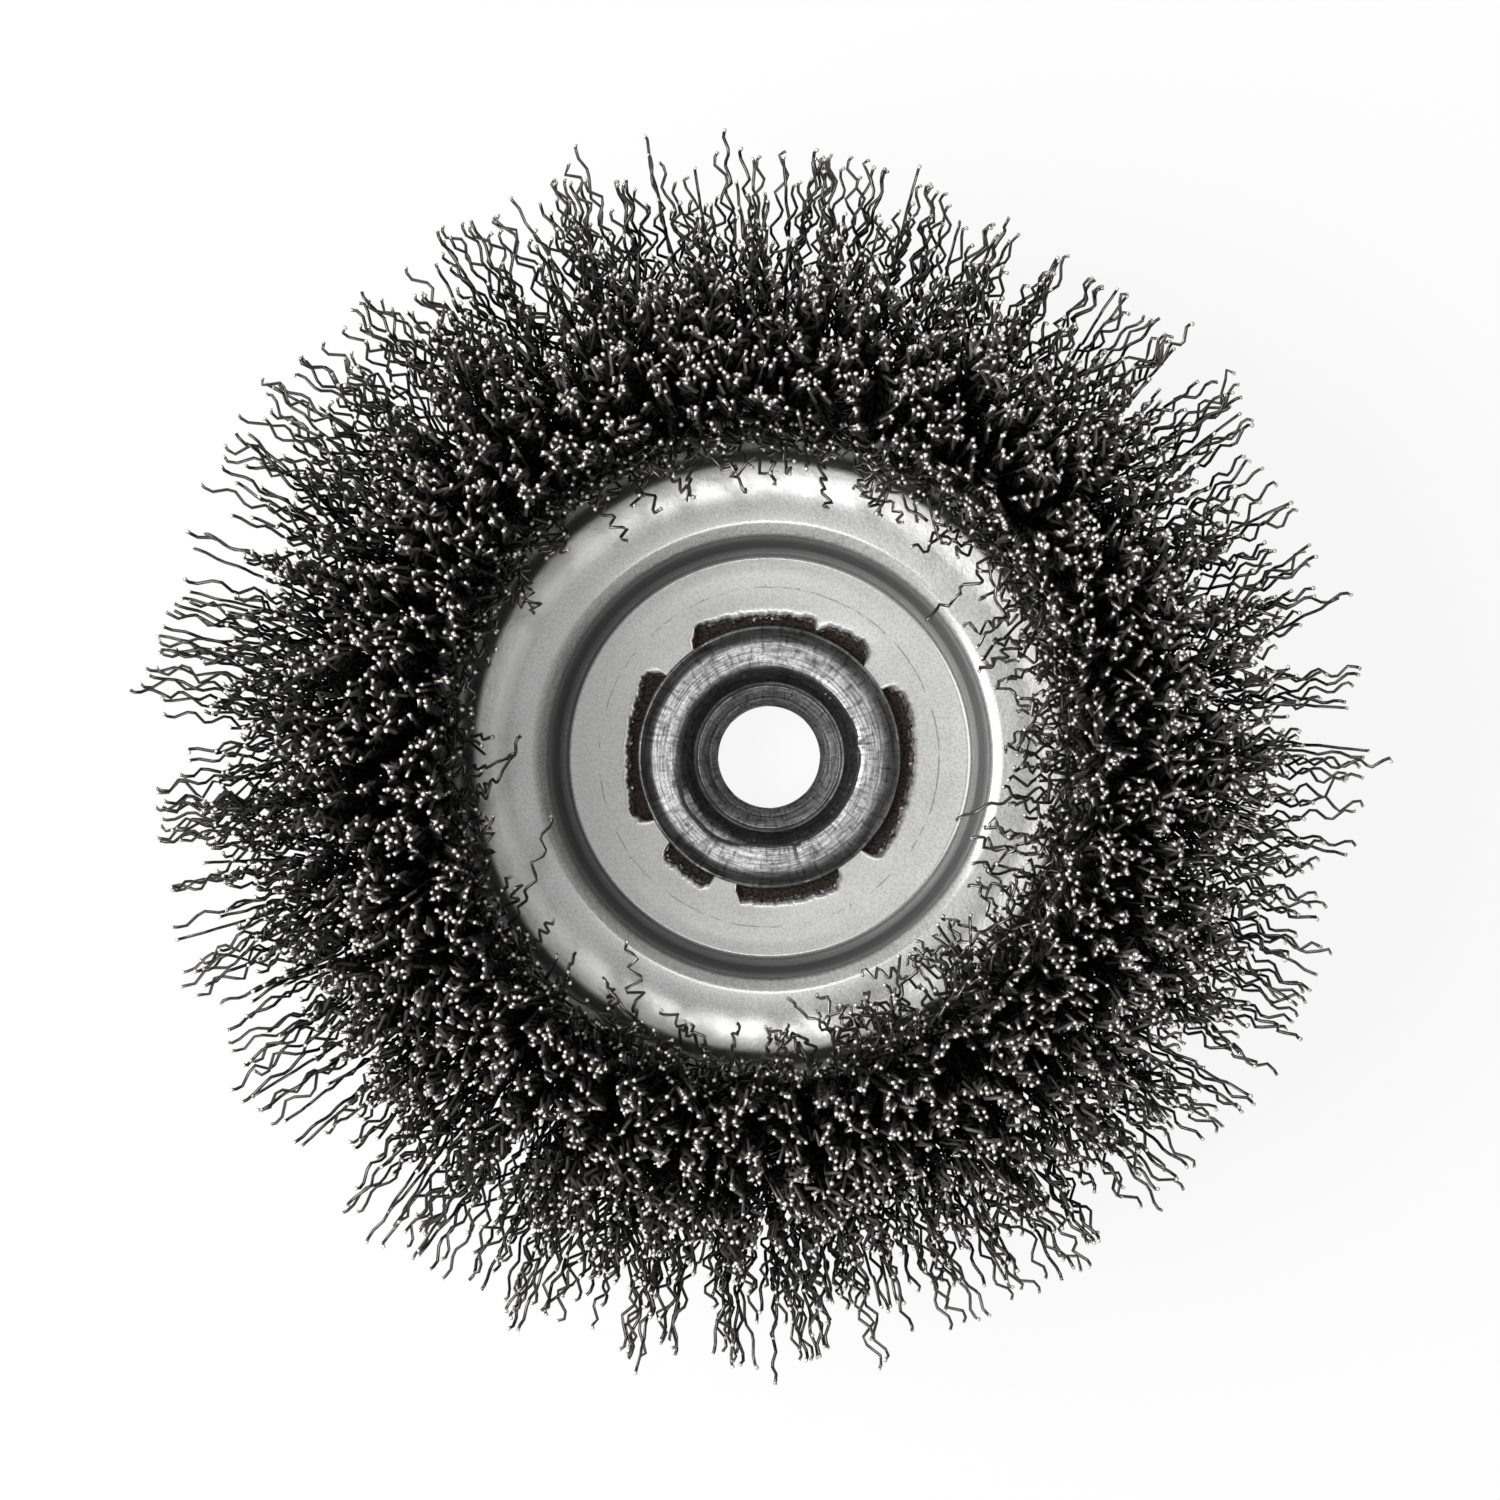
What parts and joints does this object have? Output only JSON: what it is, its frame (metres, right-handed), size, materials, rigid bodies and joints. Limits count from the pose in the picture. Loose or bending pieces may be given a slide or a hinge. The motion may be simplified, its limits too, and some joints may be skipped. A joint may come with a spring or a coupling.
{
  "type": "wire cup brush",
  "caption": "Steel wire cup brush: a threaded hub, a stamped cup and an inner plate that grip a flared ring of crimped wires, for an angle grinder.",
  "frame": {"origin": "on the bore's axis in the hub's seat face, where the spindle's shoulder bears; the brush stands on this face", "axes": "+Z along the bore from the seat face towards the wire tips; X and Y as the picture's right and up"},
  "size_m": [0.1617, 0.1607, 0.0695],
  "materials": {
    "turned_steel": "turned steel, bright where it was rolled over, dull inside the bore",
    "cup_sheet": "satin zinc plated sheet",
    "plate_sheet": "satin zinc plated sheet with fine grain and light scratches",
    "ring_wire": "plain drawn wire",
    "bristle_wire": "dark drawn steel with bright cut ends"
  },
  "bodies": {
    "root": {"hub_nut": "turned_steel", "outer_cup": "cup_sheet", "retaining_plate": "plate_sheet", "anchor_ring": "ring_wire", "wires_01": "bristle_wire", "wires_02": "bristle_wire", "wires_03": "bristle_wire", "wires_04": "bristle_wire", "wires_05": "bristle_wire", "wires_06": "bristle_wire", "wires_07": "bristle_wire", "wires_08": "bristle_wire", "wires_09": "bristle_wire", "wires_10": "bristle_wire", "wires_11": "bristle_wire", "wires_12": "bristle_wire", "wires_13": "bristle_wire", "wires_14": "bristle_wire", "wires_15": "bristle_wire", "wires_16": "bristle_wire"}
  },
  "joints": []
}
